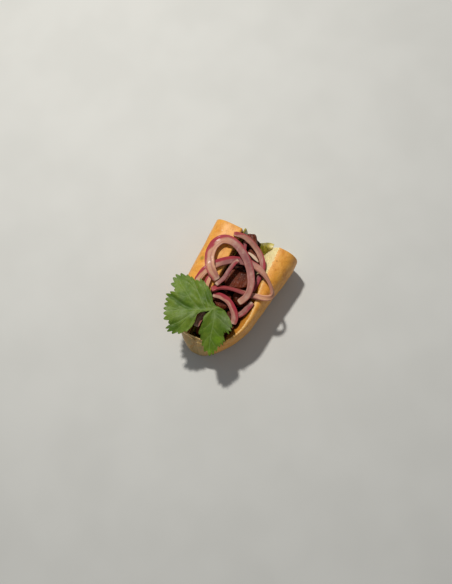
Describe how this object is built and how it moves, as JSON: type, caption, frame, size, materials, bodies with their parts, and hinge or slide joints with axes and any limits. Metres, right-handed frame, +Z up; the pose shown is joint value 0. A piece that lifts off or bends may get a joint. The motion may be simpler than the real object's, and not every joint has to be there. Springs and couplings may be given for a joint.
{
  "type": "tuna taco",
  "caption": "Soft split roll with one cut end, filled with mashed avocado and tuna, topped with pickled red onion strips and a coriander leaf.",
  "frame": {"origin": "a point on the flat underside of the roll, near its middle, below the filling", "axes": "+X along the roll towards its cut end, +Y towards the taller left wall, +Z up"},
  "size_m": [0.1001, 0.0772, 0.0465],
  "materials": {
    "bread_crust": "satin egg-washed crust, matt crumb on the cut faces",
    "avocado_mash": "moist, slightly glossy",
    "tuna_packed": "moist, dark, glossy",
    "tuna_chunks": "moist, dark reddish brown, glossy",
    "onion_flesh": "wet, translucent, crimson skin edge",
    "coriander": "satin leaf with pale veins"
  },
  "bodies": {
    "root": {"bread": "bread_crust", "avocado": "avocado_mash", "tuna": "tuna_packed", "tuna_chunk_1": "tuna_chunks", "tuna_chunk_2": "tuna_chunks", "tuna_chunk_3": "tuna_chunks", "tuna_chunk_4": "tuna_chunks", "tuna_chunk_5": "tuna_chunks", "tuna_chunk_6": "tuna_chunks", "tuna_chunk_7": "tuna_chunks", "tuna_chunk_8": "tuna_chunks", "tuna_chunk_9": "tuna_chunks", "tuna_chunk_10": "tuna_chunks", "onion_1": "onion_flesh", "onion_2": "onion_flesh", "onion_3": "onion_flesh", "onion_4": "onion_flesh", "onion_5": "onion_flesh", "onion_6": "onion_flesh", "onion_7": "onion_flesh", "onion_8": "onion_flesh", "onion_9": "onion_flesh", "onion_sliver": "onion_flesh", "coriander_leaf": "coriander"}
  },
  "joints": []
}
